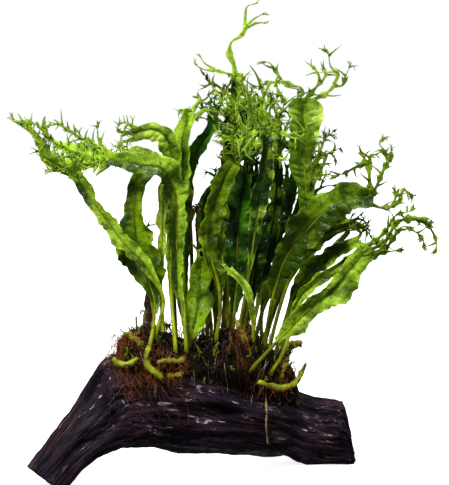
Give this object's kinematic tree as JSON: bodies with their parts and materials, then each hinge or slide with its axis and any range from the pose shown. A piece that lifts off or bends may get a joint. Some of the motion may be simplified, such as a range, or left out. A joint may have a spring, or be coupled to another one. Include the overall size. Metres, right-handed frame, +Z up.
{
  "type": "aquarium fern on driftwood",
  "caption": "Java fern with lacy forked leaf tips, growing from creeping stems and a dark root mat on a bent limb of wet driftwood.",
  "frame": {"origin": "bottom centre of the whole plant's box, on the surface that the driftwood stands on", "axes": "+X to the right along the driftwood, +Y away from the front view, +Z up"},
  "size_m": [0.2056, 0.1032, 0.2348],
  "materials": {
    "driftwood": "wet, dark and glossy",
    "root_mat": "wet fibrous tangle",
    "rusty_roots": "damp fibres",
    "rhizome": "satin, waxy",
    "frond_bright": "wet, glossy",
    "frond_fresh": "wet, glossy",
    "frond_deep": "wet, glossy",
    "frond_olive": "wet, glossy",
    "frond_withered": "dull, dried"
  },
  "bodies": {
    "root": {"crozier_left": "frond_fresh", "crozier_right": "frond_fresh", "driftwood_limb": "driftwood", "driftwood_spur": "driftwood", "frond_crown_dark": "frond_deep", "frond_crown_lace": "frond_fresh", "frond_crown_left": "frond_fresh", "frond_crown_mid": "frond_bright", "frond_crown_rear": "frond_fresh", "frond_dark_lean": "frond_deep", "frond_dark_right": "frond_deep", "frond_dark_wing": "frond_deep", "frond_left_bright": "frond_bright", "frond_left_broad": "frond_olive", "frond_left_crested": "frond_fresh", "frond_left_curl": "frond_bright", "frond_left_long": "frond_fresh", "frond_left_upright": "frond_fresh", "frond_mid_arched": "frond_bright", "frond_mid_dark": "frond_deep", "frond_mid_low": "frond_olive", "frond_mid_olive": "frond_olive", "frond_mid_ridged": "frond_deep", "frond_mid_toothed": "frond_deep", "frond_olive_rear": "frond_olive", "frond_olive_young": "frond_olive", "frond_pale_left": "frond_bright", "frond_pale_right": "frond_bright", "frond_rear_centre": "frond_fresh", "frond_rear_far_right": "frond_fresh", "frond_rear_left": "frond_fresh", "frond_rear_low_left": "frond_olive", "frond_rear_mid": "frond_deep", "frond_rear_right": "frond_deep", "frond_right_behind": "frond_fresh", "frond_right_big": "frond_olive", "frond_right_low": "frond_fresh", "frond_right_low_thin": "frond_fresh", "frond_right_lower_mid": "frond_fresh", "frond_right_quilted": "frond_bright", "frond_right_upper_mid": "frond_olive", "frond_tall_tendril": "frond_bright", "frond_withered": "frond_withered", "rhizome_left": "rhizome", "rhizome_left_front": "rhizome", "rhizome_left_top": "rhizome", "rhizome_left_upper": "rhizome", "rhizome_middle": "rhizome", "rhizome_middle_low": "rhizome", "rhizome_middle_upper": "rhizome", "rhizome_right_front": "rhizome", "rhizome_right_knob": "rhizome", "root_mat": "root_mat", "root_strand_right": "rusty_roots", "root_tuft_left": "rusty_roots"}
  },
  "joints": []
}
